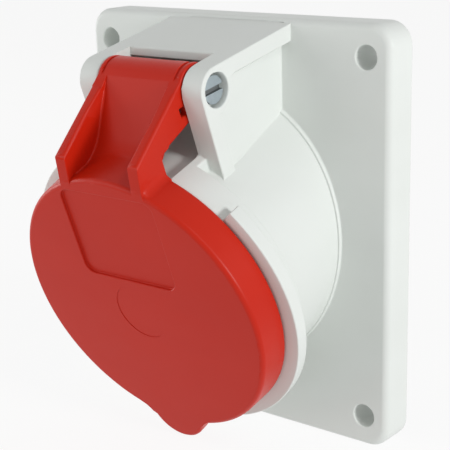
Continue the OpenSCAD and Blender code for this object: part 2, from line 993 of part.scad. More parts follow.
module contact(i) {
    color("goldenrod")
        tilted()
            at_contact(i)
                difference() {
                    union() {
                        rod(sleeve_r(i), base_back_w, sleeve_front_w);
                        rod(sleeve_r(i) + contact_collar, base_back_w, collar_front_w);
                        translate([0, 0, (base_back_w + terminal_back_w) / 2])
                            cube([2 * terminal_half(i), 2 * terminal_half(i), terminal_len], center = true);
                    }
                    rod(sleeve_bore_r(i), collar_front_w, sleeve_front_w + eps);
                    for (a = [45, 135])
                        rotate([0, 0, a])
                            translate([0, 0, sleeve_front_w])
                                cube([4 * sleeve_r(i), sleeve_slot_w, 2 * sleeve_slot_len], center = true);
                    rod(wire_hole_r, terminal_back_w - eps, terminal_back_w + wire_hole_depth);
                    translate([0, 0, terminal_screw_w])
                        rotate([0, 90, 0])
                            cylinder(r = terminal_screw_r + seat_gap, h = 2 * sleeve_r(i));
                }
}

module spring_ring(i) {
    ring_front = sleeve_front_w - ring_len / 2;
    ring_in = sleeve_r(i) + seat_gap;
    color("silver")
        tilted()
            at_contact(i)
                difference() {
                    tube(ring_in + ring_t, ring_in, ring_front - ring_len, ring_front);
                    translate([0, -sleeve_slot_w / 2, ring_front - 2 * ring_len])
                        cube([2 * sleeve_r(i), sleeve_slot_w, 3 * ring_len]);
                }
}

module terminal_screw(seat) {
    top = seat + terminal_head_t;
    difference() {
        union() {
            rod(terminal_screw_r, wire_hole_r / 2, seat);
            rod(terminal_head_r, seat, top);
        }
        translate([0, 0, top])
            cube([4 * terminal_head_r, pin_slot_w, terminal_head_t], center = true);
    }
}

module terminal_screws() {
    color("silver")
        tilted()
            for (i = [0:len(CONTACTS) - 1])
                at_contact(i)
                    translate([0, 0, terminal_screw_w])
                        rotate([0, 90, 0])
                            terminal_screw(terminal_half(i));
}

housing();
lid();
lid_seal();
hinge_pin();
lid_spring();
flange_gasket();
contact_carrier();
contact_retainer();
retainer_screw();
terminal_screws();
for (i = [0:len(CONTACTS) - 1]) {
    contact(i);
    spring_ring(i);
}
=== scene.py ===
"""Looks of a sloped panel socket: pale moulded housing, sprung red lid, hinge and contacts.

Sizes are in millimetres in the part's own frame: X right seen from the front, Y into the panel, Z up.
The socket has a tilted frame of its own: x right, u up and w forward out of the mouth.
"""

import logging
import math
from dataclasses import dataclass, field
from enum import Enum
from functools import cache
from typing import Any, Callable

import bmesh
import bpy
from mathutils import Matrix, Vector
from mathutils.bvhtree import BVHTree
from mathutils.geometry import intersect_point_line
from mathutils.kdtree import KDTree


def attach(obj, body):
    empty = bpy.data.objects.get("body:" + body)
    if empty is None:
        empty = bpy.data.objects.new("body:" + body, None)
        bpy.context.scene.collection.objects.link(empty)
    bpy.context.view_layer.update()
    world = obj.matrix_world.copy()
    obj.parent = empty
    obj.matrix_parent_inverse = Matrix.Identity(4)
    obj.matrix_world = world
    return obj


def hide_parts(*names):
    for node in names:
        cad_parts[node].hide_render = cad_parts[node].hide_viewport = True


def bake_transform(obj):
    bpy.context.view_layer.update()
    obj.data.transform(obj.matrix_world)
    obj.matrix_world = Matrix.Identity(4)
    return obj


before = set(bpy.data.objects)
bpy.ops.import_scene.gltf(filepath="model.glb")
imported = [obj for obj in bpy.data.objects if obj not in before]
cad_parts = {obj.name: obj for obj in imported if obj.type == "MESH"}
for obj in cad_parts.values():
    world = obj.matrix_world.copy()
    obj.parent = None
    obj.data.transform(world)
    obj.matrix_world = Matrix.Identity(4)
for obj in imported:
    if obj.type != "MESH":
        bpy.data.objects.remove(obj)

LOG = logging.getLogger("panel_socket")
MM = 0.001

Colour = tuple[float, float, float]
Place = tuple[float, float, float]
Pair = tuple[float, float]
Radii = tuple[float, ...]

WHITE: Colour = (1.0, 1.0, 1.0)
NOISE_MIDDLE = 0.5
ROUND_PROFILE = 0.5
# Sockets of the Mix node that work on colours. Their names are shared with its other kinds.
MIX_SHARE, MIX_FIRST, MIX_SECOND, MIX_RESULT = 0, 6, 7, 2


class Body(Enum):
    """The rigid bodies that pieces ride on."""

    HOUSING = "housing_body"
    LID = "lid_body"


class Slot(Enum):
    """The record's material slots."""

    HOUSING = "housing_plastic"
    LID = "lid_plastic"
    CARRIER = "carrier_plastic"
    RUBBER = "seal_rubber"
    PLATED = "plated_steel"
    SPRING = "spring_steel"
    BRASS = "contact_brass"


class Pole(Enum):
    """The socket's five poles, earth first and then as they follow round the circle."""

    EARTH = "earth"
    FIRST_PHASE = "l1"
    SECOND_PHASE = "l2"
    THIRD_PHASE = "l3"
    NEUTRAL = "neutral"


# Shader maths


@dataclass(frozen=True)
class Noise:
    """A soft noise round its middle.

    Attributes:
        size_mm: The size of its swells.
        detail: How many finer layers are added.
        roughness: How strong the finer layers are.
        squeeze: How much narrower the swells are along each axis.
    """

    size_mm: float
    detail: float
    roughness: float
    squeeze: Place = (1.0, 1.0, 1.0)


class Value:
    """An output socket of a shader node, so that shader maths reads as an expression."""

    def __init__(self, tree: "ShaderTree", socket: Any) -> None:
        """Wraps one output socket of a tree."""
        self.tree = tree
        self.socket = socket

    def _math(self, operation: str, first: Any, second: Any) -> "Value":
        """Adds a Math node.

        Args:
            operation: The Math node's operation.
            first: A Value or a number.
            second: A Value or a number.

        Returns:
            The node's result.
        """
        return self.tree.node("ShaderNodeMath", {0: first, 1: second}, operation=operation)

    def __add__(self, other: Any) -> "Value":
        """Sum of two values."""
        return self._math("ADD", self, other)

    __radd__ = __add__

    def __mul__(self, other: Any) -> "Value":
        """Product of two values."""
        return self._math("MULTIPLY", self, other)

    def __sub__(self, other: Any) -> "Value":
        """This value less another."""
        return self._math("SUBTRACT", self, other)

    def __rsub__(self, other: Any) -> "Value":
        """A number less this value."""
        return self._math("SUBTRACT", other, self)

    def __truediv__(self, other: Any) -> "Value":
        """This value divided by another."""
        return self._math("DIVIDE", self, other)


class ShaderTree:
    """The node tree of a material or of the world, emptied and filled node by node."""

    def __init__(self, owner: Any) -> None:
        """Empties the owner's tree."""
        owner.use_nodes = True
        self.tree = owner.node_tree
        self.tree.nodes.clear()

    def node(self, kind: str, inputs: dict[Any, Any], output: Any = 0, **settings: Any) -> Value:
        """Adds a node.

        Args:
            kind: The node's type.
            inputs: Values, or constants, for its input sockets.
            output: The output socket that is wanted.
            settings: Properties of the node, set before its sockets.

        Returns:
            The output socket.
        """
        node = self.tree.nodes.new(kind)
        for name, setting in settings.items():
            setattr(node, name, setting)
        for key, value in inputs.items():
            if isinstance(value, Value):
                self.tree.links.new(value.socket, node.inputs[key])
            else:
                node.inputs[key].default_value = value
        return Value(self, node.outputs[output])

    def end(self, kind: str, shader: Value) -> None:
        """Sends a shader to the tree's output node of that kind."""
        self.tree.links.new(shader.socket, self.tree.nodes.new(kind).inputs["Surface"])

    def place(self) -> Value:
        """Object coordinates, in metres in the part's frame."""
        return self.node("ShaderNodeTexCoord", {}, "Object")

    def noise(self, place: Value, noise: Noise) -> Value:
        """Adds a noise.

        Args:
            place: The coordinates that it follows.
            noise: Its size and character.

        Returns:
            The noise, about 0 to 1.
        """
        inputs = {
            "Vector": self.node("ShaderNodeMapping", {"Vector": place, "Scale": noise.squeeze}),
            "Scale": 1.0 / (noise.size_mm * MM),
            "Detail": noise.detail,
            "Roughness": noise.roughness,
        }
        return self.node("ShaderNodeTexNoise", inputs, "Fac")

    def mixed(self, share: Value, first: Any, second: Any) -> Value:
        """Mixes two colours.

        Args:
            share: How far the mixture is from the first colour to the second.
            first: A Value or a plain colour.
            second: A Value or a plain colour.

        Returns:
            The mixture.
        """
        inputs = {MIX_SHARE: share}
        for key, colour in ((MIX_FIRST, first), (MIX_SECOND, second)):
            inputs[key] = colour if isinstance(colour, Value) else (*colour, 1.0)
        return self.node("ShaderNodeMix", inputs, MIX_RESULT, data_type="RGBA", clamp_factor=True)

    def bump(self, height: Value, depth_mm: float, strength: float) -> Value:
        """A normal roughened by a height.

        Args:
            height: The height, about 0 to 1.
            depth_mm: How high a value of 1 stands.
            strength: How much of the bump is taken.

        Returns:
            The normal.
        """
        inputs = {"Height": height, "Distance": depth_mm * MM, "Strength": strength}
        return self.node("ShaderNodeBump", inputs, "Normal")


# Finishes


@dataclass(frozen=True)
class Finish:
    """What a piece is made of and how it looks."""

    name: str
    slot: Slot

    def sockets(self, tree: ShaderTree) -> dict[str, Any]:
        """Values for the Principled shader's sockets, from nodes in the tree."""
        raise NotImplementedError

    @cache
    def material(self) -> bpy.types.Material:
        """The finish as a material, made when it is first asked for."""
        made = bpy.data.materials.new(self.name)
        tree = ShaderTree(made)
        shader = tree.node("ShaderNodeBsdfPrincipled", self.sockets(tree), "BSDF")
        tree.end("ShaderNodeOutputMaterial", shader)
        return made

    def cover(self, piece: bpy.types.Object) -> None:
        """Gives a piece this finish all over."""
        piece.data.materials.clear()
        piece.data.materials.append(self.material())


@dataclass(frozen=True)
class MouldedPlastic(Finish):
    """Satin moulding with a fine eroded grain and faint flow in its colour."""

    colour: Colour
    flow_colour: Colour
    roughness: float
    specular: float = 0.20
    grain: Noise = Noise(0.35, 2.0, 0.55)
    grain_depth_mm: float = 0.012
    grain_strength: float = 0.6
    patches: Noise = Noise(7.0, 3.0, 0.6)
    gloss_change: float = 0.10
    flow: Noise = Noise(36.0, 2.0, 0.5, (1.0, 1.0, 2.2))
    flow_start: float = 0.35
    flow_gain: float = 2.2

    def sockets(self, tree: ShaderTree) -> dict[str, Any]:
        """Grain in the normal, patches in the gloss and flow in the colour."""
        place = tree.place()
        grain = tree.noise(place, self.grain)
        patches = tree.noise(place, self.patches)
        flow = (tree.noise(place, self.flow) - self.flow_start) * self.flow_gain
        return {
            "Base Color": tree.mixed(flow, self.colour, self.flow_colour),
            "Roughness": self.roughness + (patches + grain - 2.0 * NOISE_MIDDLE) * self.gloss_change,
            "Specular IOR Level": self.specular,
            "Normal": tree.bump(grain, self.grain_depth_mm, self.grain_strength),
        }


@dataclass(frozen=True)
class DrawnMetal(Finish):
    """Metal with fine tool marks and a slightly uneven sheen."""

    colour: Colour
    dull_colour: Colour
    roughness: float
    marks: Noise = Noise(1.0, 2.0, 0.6, (6.0, 0.4, 0.4))
    mark_depth_mm: float = 0.006
    mark_strength: float = 0.5
    mark_gloss: float = 0.22
    cloud: Noise = Noise(2.4, 3.0, 0.6)
    cloud_start: float = 0.3
    cloud_gain: float = 2.0
    cloud_gloss: float = 0.12

    def sockets(self, tree: ShaderTree) -> dict[str, Any]:
        """Tool marks in the normal, clouds in the colour, and both in the gloss."""
        place = tree.place()
        marks = tree.noise(place, self.marks)
        cloud = tree.noise(place, self.cloud)
        dull = (cloud - self.cloud_start) * self.cloud_gain
        gloss = (marks - NOISE_MIDDLE) * self.mark_gloss
        return {
            "Base Color": tree.mixed(dull, self.colour, self.dull_colour),
            "Metallic": 1.0,
            "Roughness": self.roughness + gloss + (cloud - NOISE_MIDDLE) * self.cloud_gloss,
            "Normal": tree.bump(marks, self.mark_depth_mm, self.mark_strength),
        }


@dataclass(frozen=True)
class SlotShadedMetal(DrawnMetal):
    """Drawn metal with painted shade in the slot of a head that faces right, where the slot's walls
    and floor lie in shadow.
    """

    # Colour of the painted shade in the slot, not a real deposit.
    slot_shade_colour: Colour = (0.25, 0.265, 0.27)
    face_x_mm: float = 17.2
    rim_mm: float = 0.25
    slot_mm: float = 1.1

    def sockets(self, tree: ShaderTree) -> dict[str, Any]:
        """The metal's sockets, with painted shade that darkens the colour from the head's rim to the
        slot's floor.
        """
        made = super().sockets(tree)
        depth = self.face_x_mm * MM - tree.node("ShaderNodeSeparateXYZ", {0: tree.place()}, "X")
        head = tree.node("ShaderNodeMath", {0: depth, 1: self.slot_mm * MM}, operation="LESS_THAN")
        # Painted shade: darker with depth below the head's face, in full from rim_mm down to slot_mm.
        slot_shade = head * depth / (self.rim_mm * MM)
        made["Base Color"] = tree.mixed(slot_shade, made["Base Color"], self.slot_shade_colour)
        return made


@dataclass(frozen=True)
class SealRubber(Finish):
    """Dark rubber with a dusty, dry surface."""

    colour: Colour
    dust_colour: Colour
    roughness: float = 0.78
    specular: float = 0.3
    dust: Noise = Noise(3.8, 4.0, 0.65)
    dust_start: float = 0.45
    dust_gain: float = 3.0
    dust_gloss: float = 0.2
    pores: Noise = Noise(0.4, 2.0, 0.5)
    pore_depth_mm: float = 0.02
    pore_strength: float = 0.5

    def sockets(self, tree: ShaderTree) -> dict[str, Any]:
        """Pores in the normal and dust in the colour and the gloss."""
        place = tree.place()
        dust = tree.noise(place, self.dust)
        pores = tree.noise(place, self.pores)
        dusty = (dust - self.dust_start) * self.dust_gain
        return {
            "Base Color": tree.mixed(dusty, self.colour, self.dust_colour),
            "Roughness": self.roughness + (dust - NOISE_MIDDLE) * self.dust_gloss,
            "Specular IOR Level": self.specular,
            "Normal": tree.bump(pores, self.pore_depth_mm, self.pore_strength),
        }


HOUSING_GREY = MouldedPlastic(
    "housing_grey", Slot.HOUSING, (0.755, 0.785, 0.755), (0.785, 0.815, 0.79), 0.40
)
LID_RED = MouldedPlastic("lid_red", Slot.LID, (0.54, 0.0160, 0.0035), (0.57, 0.0185, 0.0045), 0.38)
CARRIER_GREY = MouldedPlastic(
    "carrier_grey", Slot.CARRIER, (0.055, 0.060, 0.066), (0.070, 0.075, 0.080), 0.48
)
RUBBER_BLACK = SealRubber("seal_black", Slot.RUBBER, (0.018, 0.018, 0.019), (0.045, 0.045, 0.046))
ZINC_LOOK = ((0.50, 0.575, 0.62), (0.43, 0.49, 0.53), 0.36)
PLATED_STEEL = DrawnMetal("zinc_plate", Slot.PLATED, *ZINC_LOOK)
PIN_STEEL = SlotShadedMetal("zinc_plate_painted_slot_shade", Slot.PLATED, *ZINC_LOOK)
SPRING_STEEL = DrawnMetal("drawn_wire", Slot.SPRING, (0.46, 0.47, 0.49), (0.34, 0.35, 0.37), 0.30)
CONTACT_BRASS = DrawnMetal("turned_brass", Slot.BRASS, (0.72, 0.50, 0.20), (0.60, 0.40, 0.15), 0.28)


# Pieces


@dataclass(frozen=True)
class SocketFrame:
    """The socket's tilted frame: x across, u up and w forward out of the mouth, in millimetres."""

    tilt: float = 20.0
    middle: Place = (0.0, -35.5, -10.6452)

    def turn(self) -> Matrix:
        """Turns directions in the socket's frame into the part's."""
        tilt = math.radians(self.tilt)
        across = Vector((1.0, 0.0, 0.0))
        up = Vector((0.0, -math.sin(tilt), math.cos(tilt)))
        return Matrix((across, up, across.cross(up))).transposed().to_4x4()

    def matrix(self) -> Matrix:
        """Turns places in the socket's frame into the part's, in metres."""
        return Matrix.Scale(MM, 4) @ Matrix.Translation(self.middle) @ self.turn()


SOCKET = SocketFrame()


def shown(name: str, shape: bmesh.types.BMesh) -> bpy.types.Object:
    """Turns a finished shape into a piece in the scene, and lets go of the shape.

    Args:
        name: The piece's name.
        shape: Its mesh, in metres in the part's frame.

    Returns:
        The piece.
    """
    mesh = bpy.data.meshes.new(name)
    shape.to_mesh(mesh)
    shape.free()
    piece = bpy.data.objects.new(name, mesh)
    bpy.context.scene.collection.objects.link(piece)
    LOG.info("%s, %d faces", name, len(mesh.polygons))
    return piece


@dataclass
class RoundedSolid:
    """A copy of a solid with its edges rounded, wherever a rounding fits.

    Attributes:
        node: The solid's name.
        name: The copy's name.
        body: The body that the copy rides on.
        edge_r_mm: The roundings' sizes, largest first. An edge takes the first that fits.
        segments: How many faces a rounding has across.
        sharp_deg: From which turn an edge is rounded.
        crease_deg: From which turn an edge that is left stays a crease.
        flat_deg: Up to which turn faces are made one.
        merge_mm: Up to which distance corners are made one.
        normal_weight: How far large faces set the normals.
        most_lift: How far a rounding may leave the surface, in roundings.
        least_turn: How far a face may be turned over, as the cosine of its turn.
        least_area_mm2: Twice the area from which a triangle is looked at.
        reach: How far from an edge a flaw counts as its own, in roundings.
        stop: How far from a crowded end a rounding stops, in roundings.
        long_edge: How long an edge must be to be split there, in stops.
        touch_mm: Within which distance a cut meets an edge.
        rounds: How often crowded edges are looked for.
    """

    node: str
    name: str
    body: Body
    edge_r_mm: Radii
    segments: int = 3
    sharp_deg: float = 28.0
    crease_deg: float = 46.0
    flat_deg: float = 0.4
    merge_mm: float = 0.0005
    normal_weight: int = 100
    most_lift: float = 0.55
    least_turn: float = -0.2
    least_area_mm2: float = 0.0005
    reach: float = 1.6
    stop: float = 4.0
    long_edge: float = 3.0
    touch_mm: float = 0.001
    rounds: int = 10

    def build(self) -> bpy.types.Object:
        """Copies the solid and rounds its edges, the largest rounding first.

        Returns:
            The new piece, in the place of the solid.
        """
        shape = self.joined()
        for edge_r_mm in self.edge_r_mm:
            shape = self.softened(shape, edge_r_mm * MM)
        for face in shape.faces:
            face.smooth = True
        crease = math.radians(self.crease_deg)
        for edge in shape.edges:
            edge.smooth = len(edge.link_faces) < 2 or edge.calc_face_angle() < crease
        piece = shown(self.name, shape)
        normals = piece.modifiers.new("normals", "WEIGHTED_NORMAL")
        normals.weight = self.normal_weight
        normals.keep_sharp = True
        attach(piece, self.body.value)
        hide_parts(self.node)
        return piece

    def joined(self) -> bmesh.types.BMesh:
        """A merged copy of the solid's mesh, its flat faces made whole."""
        shape = bmesh.new()
        shape.from_mesh(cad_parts[self.node].data)
        bmesh.ops.remove_doubles(shape, verts=shape.verts[:], dist=self.merge_mm * MM)
        bmesh.ops.dissolve_limit(
            shape,
            angle_limit=math.radians(self.flat_deg),
            use_dissolve_boundaries=False,
            verts=shape.verts[:],
            edges=shape.edges[:],
        )
        shape.faces.layers.int.new("rounded")
        return shape

    def softened(self, solid: bmesh.types.BMesh, edge_r: float) -> bmesh.types.BMesh:
        """Rounds the sharp edges, and leaves alone those where a rounding has no room.

        Args:
            solid: The shape so far, which is used up.
            edge_r: The rounding's size in metres.

        Returns:
            The rounded shape.
        """
        skin = BVHTree.FromBMesh(solid)
        edges = self.sharp(solid)
        shape = self.rounded(solid, edges, edge_r)
        if self.eased(solid, edges, self.flaws(shape, skin, edge_r), edge_r):
            edges = self.sharp(solid)
            shape.free()
            shape = self.rounded(solid, edges, edge_r)
        for _ in range(self.rounds):
            crowded = self.crowded(solid, edges, self.flaws(shape, skin, edge_r), edge_r)
            if not crowded:
                break
            edges -= crowded
            shape.free()
            shape = self.rounded(solid, edges, edge_r)
        solid.free()
        return shape

    def sharp(self, solid: bmesh.types.BMesh) -> set[int]:
        """The numbers of the sharp edges that touch no rounding yet."""
        solid.edges.index_update()
        solid.edges.ensure_lookup_table()
        done = solid.faces.layers.int["rounded"]
        return {
            edge.index
            for edge in solid.edges
            if len(edge.link_faces) == 2
            and edge.calc_face_angle() > math.radians(self.sharp_deg)
            and not any(face[done] for face in edge.link_faces)
        }

    def eased(self, solid: bmesh.types.BMesh, edges: set[int], spots: KDTree, edge_r: float) -> bool:
        """Splits long edges a little way from their crowded ends, so that the rest can be rounded.

        Args:
            solid: The shape so far.
            edges: The numbers of its sharp edges.
            spots: The flaws' places.
            edge_r: The rounding's size in metres.

        Returns:
            Whether any edge was split.
        """
        stop = self.stop * edge_r
        cuts = []
        for edge in (solid.edges[index] for index in sorted(edges)):
            first, last = (v.co.copy() for v in edge.verts)
            length = (last - first).length
            if length < self.long_edge * stop:
                continue
            along = (last - first) / length
            shares = self.beside(edge, spots, edge_r)
            if any(share < stop / length for share in shares):
                cuts.append((first + along * stop, along))
            if any(share > 1.0 - stop / length for share in shares):
                cuts.append((last - along * stop, along))
        for place, along in cuts:
            self.split(solid, place, along)
        return bool(cuts)

    def split(self, solid: bmesh.types.BMesh, place: Vector, along: Vector) -> None:
        """Splits the edge that passes through a place, and the faces beside it.

        Args:
            solid: The shape so far.
            place: The place.
            along: The edge's direction.
        """
        for edge in solid.edges:
            first, last = (v.co for v in edge.verts)
            nearest, share = intersect_point_line(place, first, last)
            if 0.0 < share < 1.0 and (nearest - place).length < self.touch_mm * MM:
                parts = [part for face in edge.link_faces for part in (*face.verts, *face.edges, face)]
                bmesh.ops.bisect_plane(
                    solid,
                    geom=list(dict.fromkeys(parts)),
                    dist=self.merge_mm * MM,
                    plane_co=place,
                    plane_no=along,
                )
                break

    def beside(self, edge: bmesh.types.BMEdge, spots: KDTree, edge_r: float) -> list[float]:
        """How far along an edge the flaws are that its rounding may have made.

        Args:
            edge: The edge.
            spots: The flaws' places.
            edge_r: The rounding's size in metres.

        Returns:
            The flaws' places as shares of the edge's length.
        """
        first, last = (v.co for v in edge.verts)
        reach = self.reach * edge_r
        middle, half = (first + last) / 2.0, (last - first).length / 2.0
        shares = []
        for spot, _, _ in spots.find_range(middle, half + reach):
            share = min(max(intersect_point_line(spot, first, last)[1], 0.0), 1.0)
            if (first.lerp(last, share) - spot).length < reach:
                shares.append(share)
        return shares

    def rounded(self, solid: bmesh.types.BMesh, edges: set[int], edge_r: float) -> bmesh.types.BMesh:
        """A copy of the solid with some of its edges rounded.

        Args:
            solid: The shape so far.
            edges: The numbers of the edges.
            edge_r: The rounding's size in metres.

        Returns:
            The rounded copy.
        """
        shape = solid.copy()
        shape.edges.ensure_lookup_table()
        made = bmesh.ops.bevel(
            shape,
            geom=[shape.edges[index] for index in sorted(edges)],
            offset=edge_r,
            offset_type="OFFSET",
            segments=self.segments,
            profile=ROUND_PROFILE,
            affect="EDGES",
            material=-1,
            clamp_overlap=False,
            loop_slide=True,
        )
        done = shape.faces.layers.int["rounded"]
        for face in made["faces"]:
            face[done] = 1
        return shape

    def flaws(self, shape: bmesh.types.BMesh, skin: BVHTree, edge_r: float) -> KDTree:
        """Places where a rounded copy leaves the solid's surface or is turned over.

        Args:
            shape: The rounded copy.
            skin: The solid's surface.
            edge_r: The rounding's size in metres.

        Returns:
            The places.
        """
        spots = []
        for loops in shape.calc_loop_triangles():
            a, b, c = (loop.vert.co for loop in loops)
            normal = (b - a).cross(c - a)
            if normal.length < self.least_area_mm2 * MM * MM:
                continue
            middle = (a + b + c) / 3.0
            if normal.normalized().dot(skin.find_nearest(middle)[1]) < self.least_turn:
                spots.append(middle)
            for place in (middle, (a + b) / 2.0, (b + c) / 2.0, (c + a) / 2.0):
                if skin.find_nearest(place)[3] > self.most_lift * edge_r:
                    spots.append(place)
        tree = KDTree(len(spots))
        for number, spot in enumerate(spots):
            tree.insert(spot, number)
        tree.balance()
        return tree

    def crowded(
        self, solid: bmesh.types.BMesh, edges: set[int], spots: KDTree, edge_r: float
    ) -> set[int]:
        """Rounded edges that stand next to a flaw.

        Args:
            solid: The shape so far.
            edges: The numbers of its rounded edges.
            spots: The flaws' places.
            edge_r: The rounding's size in metres.

        Returns:
            The numbers of those edges.
        """
        return {index for index in edges if self.beside(solid.edges[index], spots, edge_r)}


@dataclass(frozen=True)
class Part:
    """One solid of a sub-assembly: its node, the piece's name, its rounded edges and its finish."""

    node: str
    name: str
    edge_r_mm: Radii
    finish: Finish


@dataclass
class SubAssembly:
    """Pieces that ride on one body and are made together."""

    body: Body = Body.HOUSING
    pieces: dict[str, bpy.types.Object] = field(default_factory=dict)

    def parts(self) -> list[Part]:
        """The solids that become rounded pieces."""
        raise NotImplementedError

    def build(self) -> None:
        """Makes a rounded piece of each solid."""
        for part in self.parts():
            solid = RoundedSolid(part.node, part.name, self.body, part.edge_r_mm)
            self.pieces[part.name] = solid.build()

    def dress(self) -> None:
        """Gives each piece its finish."""
        for part in self.parts():
            part.finish.cover(self.pieces[part.name])


@dataclass
class Housing(SubAssembly):
    """The pale moulding of flange, body, collar and hood, and the gasket in its back."""

    moulding_r: Radii = (0.35, 0.15)
    gasket_r: Radii = (0.25,)

    def parts(self) -> list[Part]:
        """The moulding and the gasket."""
        return [
            Part("housing", "housing_moulding", self.moulding_r, HOUSING_GREY),
            Part("flange_gasket", "panel_gasket", self.gasket_r, RUBBER_BLACK),
        ]


def smooth_max(first: float, second: float, blend: float) -> float:
    """The larger of two heights, with a soft passage from one to the other.

    Args:
        first: One height.
        second: The other height.
        blend: How far apart they are where the passage starts.

    Returns:
        The height.
    """
    near = max(0.0, blend - abs(first - second))
    return max(first, second) + near**3 / (6.0 * blend**2)


@dataclass
class Lid(SubAssembly):
    """The red lid with its ribs, neck and nose, its seal, and the smooth runs between its forms.

    Its places are in the socket's frame.

    Attributes:
        body: The body that it rides on.
        moulding_r: Roundings of the moulding's edges.
        seal_r: Roundings of the seal's edges.
        rib_in: The ribs' inner faces, across.
        rib_out: The ribs' outer faces, across.
        cap_r: The cap's radius at its back.
        cap_draft: How much smaller that radius is at the front.
        cap_rise: Height of the cap's middle.
        cap_back: Where the cap's side starts, forward.
        cap_front: Where the cap ends, forward.
        cap_edge_r: Rounding of the cap's front edge.
        valley_middle: The middle of the neck's valley, up and forward.
        valley_r: The valley's radius.
        neck_slope: The slope that the valley runs into, in degrees.
        saddle_ends: The saddle's ends, forward.
        saddle_blend: Over which height the saddle joins neck and cap at its middle.
        saddle_loss: The share of that height that is lost towards the ribs.
        cove_r: Rounding between the saddle and the ribs.
        cove_fade: Over which length that rounding fades at the saddle's ends.
        cove_least: The share of it that is left there.
        foot_r: Rounding between the cap and the ribs' outer faces.
        foot_least: The share of it that is left at its front end.
        foot_ends: That rounding's ends, forward.
        skin: How thick a run is.
        sink: How far a run lies below the surface that it follows.
        tuck: How far a run reaches into a rib.
        run_cells: How many cells a run has across and forward.
        run_crease_deg: From which turn a run's edge is a crease.
    """

    body: Body = Body.LID
    moulding_r: Radii = (0.85, 0.5, 0.25, 0.15)
    seal_r: Radii = (0.3,)
    rib_in: float = 9.3
    rib_out: float = 12.3
    cap_r: float = 34.65
    cap_draft: float = 0.5
    cap_rise: float = 0.5
    cap_back: float = 0.3
    cap_front: float = 8.5
    cap_edge_r: float = 1.2
    valley_middle: Pair = (45.2, 5.728)
    valley_r: float = 12.0
    neck_slope: float = 54.0
    saddle_ends: Pair = (-10.5, 4.5)
    saddle_blend: float = 1.6
    saddle_loss: float = 0.8
    cove_r: float = 0.3
    cove_fade: float = 3.0
    cove_least: float = 0.02
    foot_r: float = 1.6
    foot_least: float = 0.25
    foot_ends: Pair = (0.3, 8.2)
    skin: float = 0.4
    sink: float = 0.01
    tuck: float = 0.05
    run_cells: tuple[int, int] = (48, 64)
    run_crease_deg: float = 40.0

    def parts(self) -> list[Part]:
        """The moulding and the seal."""
        return [
            Part("lid", "lid_moulding", self.moulding_r, LID_RED),
            Part("lid_seal", "lid_seal_ring", self.seal_r, RUBBER_BLACK),
        ]

    def build(self) -> None:
        """Makes the moulding, the seal and the smooth runs."""
        super().build()
        reach = self.rib_in + self.tuck
        runs = [("lid_neck_saddle", (-reach, reach), self.saddle_ends, self.saddle)]
        for side, word in ((-1.0, "left"), (1.0, "right")):
            wide = (side * (self.rib_out - self.tuck), side * (self.rib_out + self.foot_r))
            runs.append((f"lid_rib_foot_{word}", wide, self.foot_ends, self.foot))
        for name, wide, deep, height in runs:
            self.pieces[name] = self.run(name, wide, deep, height)

    def dress(self) -> None:
        """Gives every piece its finish."""
        super().dress()
        solids = [part.name for part in self.parts()]
        for name, piece in self.pieces.items():
            if name not in solids:
                LID_RED.cover(piece)

    def cap(self, x: float, w: float) -> float:
        """Height of the cap's round side.

        Args:
            x: The place across.
            w: The place forward.

        Returns:
            The height.
        """
        flank = self.cap_front - self.cap_edge_r
        share = max(0.0, min(1.0, (w - self.cap_back) / (flank - self.cap_back)))
        radius = self.cap_r - self.cap_draft * share
        turned = max(0.0, w - flank)
        radius -= self.cap_edge_r - math.sqrt(self.cap_edge_r**2 - turned**2)
        return self.cap_rise + math.sqrt(radius**2 - x * x)

    def neck(self, w: float) -> Pair:
        """Height of the neck's front, a valley and then a slope, and how steep it is.

        Args:
            w: The place forward.

        Returns:
            The height and the rise for each millimetre backward.
        """
        slope = math.radians(self.neck_slope)
        away = self.valley_middle[1] - w
        bend = min(away, self.valley_r * math.sin(slope))
        low = math.sqrt(self.valley_r**2 - bend**2)
        return self.valley_middle[0] - low + (away - bend) * math.tan(slope), bend / low

    def cove(self, gap: float, radius: float) -> float:
        """Height of a hollow rounding at a distance from the wall that it runs up."""
        away = max(0.0, radius - max(0.0, gap))
        return radius - math.sqrt(radius**2 - away**2)

    def saddle(self, x: float, w: float) -> float:
        """Height of the neck as it runs into the cap and up the ribs.

        Args:
            x: The place across.
            w: The place forward.

        Returns:
            The height.
        """
        neck, steep = self.neck(w)
        blend = self.saddle_blend * (1.0 - self.saddle_loss * (x / self.rib_in) ** 2)
        height = smooth_max(neck, self.cap(x, w), blend)
        first, last = self.saddle_ends
        fade = min(1.0, (w - first) / self.cove_fade, (last - w) / self.cove_fade)
        cove = self.cove(self.rib_in - abs(x), self.cove_r * max(self.cove_least, fade))
        return height + cove * math.hypot(1.0, steep) - self.sink

    def foot(self, x: float, w: float) -> float:
        """Height of the rounding between the cap and a rib's outer face.

        Args:
            x: The place across.
            w: The place forward.

        Returns:
            The height.
        """
        last = self.foot_ends[1]
        turned = max(0.0, w - last + self.foot_r) / self.foot_r
        full = math.sqrt(max(0.0, 1.0 - turned**2))
        radius = self.foot_r * (self.foot_least + (1.0 - self.foot_least) * full)
        return self.cap(x, w) + self.cove(abs(x) - self.rib_out, radius) - self.sink

    def run(
        self, name: str, wide: Pair, deep: Pair, height: Callable[[float, float], float]
    ) -> bpy.types.Object:
        """Makes a smooth run, a skin that lies on the moulding.

        Args:
            name: The piece's name.
            wide: Its ends across.
            deep: Its ends from back to front.
            height: Its height at a place across and forward.

        Returns:
            The piece.
        """
        shape = bmesh.new()
        across, along = self.run_cells
        bmesh.ops.create_grid(shape, x_segments=across, y_segments=along, size=1.0)
        for vert in shape.verts:
